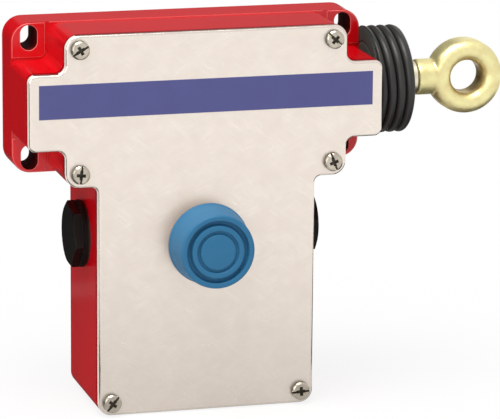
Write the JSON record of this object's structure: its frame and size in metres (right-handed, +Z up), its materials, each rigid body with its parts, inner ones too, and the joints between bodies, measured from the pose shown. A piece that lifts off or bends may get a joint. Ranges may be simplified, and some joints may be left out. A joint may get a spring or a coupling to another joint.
{
  "type": "rope pull switch",
  "caption": "Safety rope pull switch: a T-shaped box with a satin cover, a spring-loaded rope eye behind a bellows, plugged cable entries and a booted reset button.",
  "frame": {"origin": "middle of the four fixing slots, on the mounting face", "axes": "+X along the rope towards the eye, +Y out of the mounting face into the wall, +Z up; the cover faces -Y"},
  "size_m": [0.1858, 0.0605, 0.142],
  "materials": {
    "red_paint": "gloss enamel on a zinc casting",
    "cover_metal": "satin",
    "band": "printed film",
    "screw_steel": "plain steel",
    "black_plastic": "moulded",
    "rubber": "moulded rubber",
    "blue_rubber": "moulded silicone",
    "yellow_zinc": "yellow-passivated zinc plating on steel",
    "spring_steel": "drawn wire",
    "brass": "machined",
    "cream_plastic": "moulded",
    "red_plastic": "moulded"
  },
  "bodies": {
    "case": {"housing": "red_paint", "cover_gasket": "rubber", "cover_plate": "cover_metal", "stripe_band": "band", "cover_screws": "screw_steel", "plug_left": "black_plastic", "plug_right": "black_plastic", "plug_seals": "rubber", "gland_bush": "brass", "bellows": "rubber", "main_spring": "spring_steel", "left_guide": "screw_steel", "guide_screws": "screw_steel", "contact_block_left": "black_plastic", "contact_block_right": "black_plastic", "contact_screws": "screw_steel", "contact_terminals": "brass", "latch_bracket": "screw_steel", "bracket_screws": "screw_steel", "latch_pin": "spring_steel", "latch_spring": "spring_steel", "terminal_strip": "cream_plastic", "strip_screws": "screw_steel", "terminal_screws": "brass", "earth_screw": "brass", "reset_bush": "screw_steel", "reset_nut": "screw_steel", "reset_boot": "blue_rubber", "reset_spring": "spring_steel"},
    "pull_gear": {"rope_eye": "yellow_zinc", "pull_shaft": "screw_steel", "stop_ring": "spring_steel", "trip_cam": "cream_plastic", "cam_pin": "spring_steel", "spring_washer": "screw_steel"},
    "plunger_left": {"contact_plunger_left": "red_plastic"},
    "plunger_right": {"contact_plunger_right": "red_plastic"},
    "latch": {"latch_lever": "screw_steel"},
    "reset": {"reset_plunger": "screw_steel"}
  },
  "joints": [
    {"name": "rope_pull", "type": "slide", "parent": "case", "child": "pull_gear", "axis": [1, 0, 0], "range_m": [0, 0.01], "stiffness_N_per_m": 4000, "springref_m": -0.006, "deforming": ["bellows", "main_spring"]},
    {"name": "left_contact", "type": "slide", "parent": "case", "child": "plunger_left", "axis": [0, 0, 1], "range_m": [-0.003, 0]},
    {"name": "right_contact", "type": "slide", "parent": "case", "child": "plunger_right", "axis": [0, 0, 1], "range_m": [-0.003, 0]},
    {"name": "reset_press", "type": "slide", "parent": "case", "child": "reset", "axis": [0, 1, 0], "range_m": [0, 0.0035], "stiffness_N_per_m": 800, "springref_m": -0.004, "deforming": ["reset_boot", "reset_spring", "latch_spring"]},
    {"name": "latch_turn", "type": "hinge", "parent": "case", "child": "latch", "pos_m": [0, -0.026, -0.03], "axis": [1, 0, 0], "range_deg": [0, 9.6]}
  ],
  "couplings": [
    {"joint": "left_contact", "follows": "rope_pull", "ratio": -0.3},
    {"joint": "right_contact", "follows": "rope_pull", "ratio": -0.3},
    {"joint": "latch_turn", "follows": "reset_press", "rad_per_m": 47.619}
  ]
}
